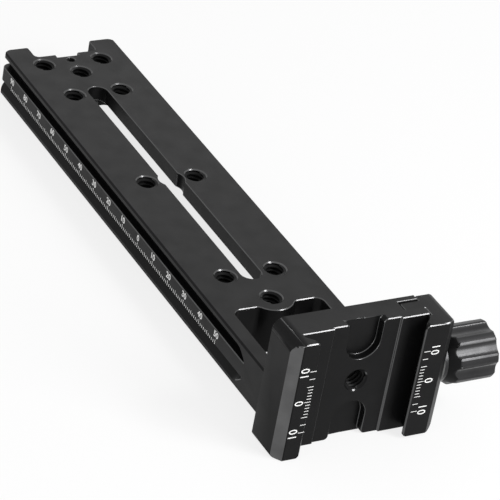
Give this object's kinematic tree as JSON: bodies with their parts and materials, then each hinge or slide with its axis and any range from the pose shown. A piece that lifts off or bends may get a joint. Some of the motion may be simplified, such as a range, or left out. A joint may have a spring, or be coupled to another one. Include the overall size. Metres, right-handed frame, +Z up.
{
  "type": "vertical nodal rail",
  "caption": "Slotted double dovetail rail with threaded accessory holes and an upright screw clamp with a fluted knob across one end.",
  "frame": {"origin": "middle of the rail's hole pattern, on the rail's top face", "axes": "+X along the rail towards the clamp, +Y across the rail towards the knob, +Z up out of the rail's top face"},
  "size_m": [0.197, 0.0676, 0.038],
  "materials": {
    "black_anodised": "satin black anodised over a fine bead blast",
    "plain_steel": "turned stainless steel",
    "black_steel": "black oxide",
    "spring_steel": "drawn wire",
    "bronze": "sintered bronze",
    "white_plastic": "smooth acetal"
  },
  "bodies": {
    "rail": {"rail": "black_anodised", "clamp_base": "black_anodised", "mounting_screw_left": "black_steel", "mounting_screw_right": "black_steel", "lock_washer_left": "plain_steel", "lock_washer_right": "plain_steel", "dowel_pin_left": "plain_steel", "dowel_pin_right": "plain_steel", "thread_bush": "plain_steel", "return_spring_upper": "spring_steel", "return_spring_lower": "spring_steel"},
    "jaw": {"moving_jaw": "black_anodised", "jaw_bush": "bronze", "friction_washer": "white_plastic"},
    "knob": {"clamp_knob": "black_anodised", "lead_screw": "plain_steel", "thrust_washer": "plain_steel", "retaining_ring": "black_steel", "knob_grub_screw_back": "black_steel", "knob_grub_screw_under": "black_steel"}
  },
  "joints": [
    {"name": "jaw_slide", "type": "slide", "parent": "rail", "child": "jaw", "axis": [0, 1, 0], "range_m": [-0.00035, 0.0045], "deforming": ["return_spring_upper", "return_spring_lower"]},
    {"name": "knob_spin", "type": "hinge", "parent": "jaw", "child": "knob", "pos_m": [0.107, 0, 0.0045], "axis": [0, 1, 0], "range_deg": [-158, 2026]}
  ],
  "couplings": [
    {"joint": "knob_spin", "follows": "jaw_slide", "rad_per_m": 7854}
  ]
}
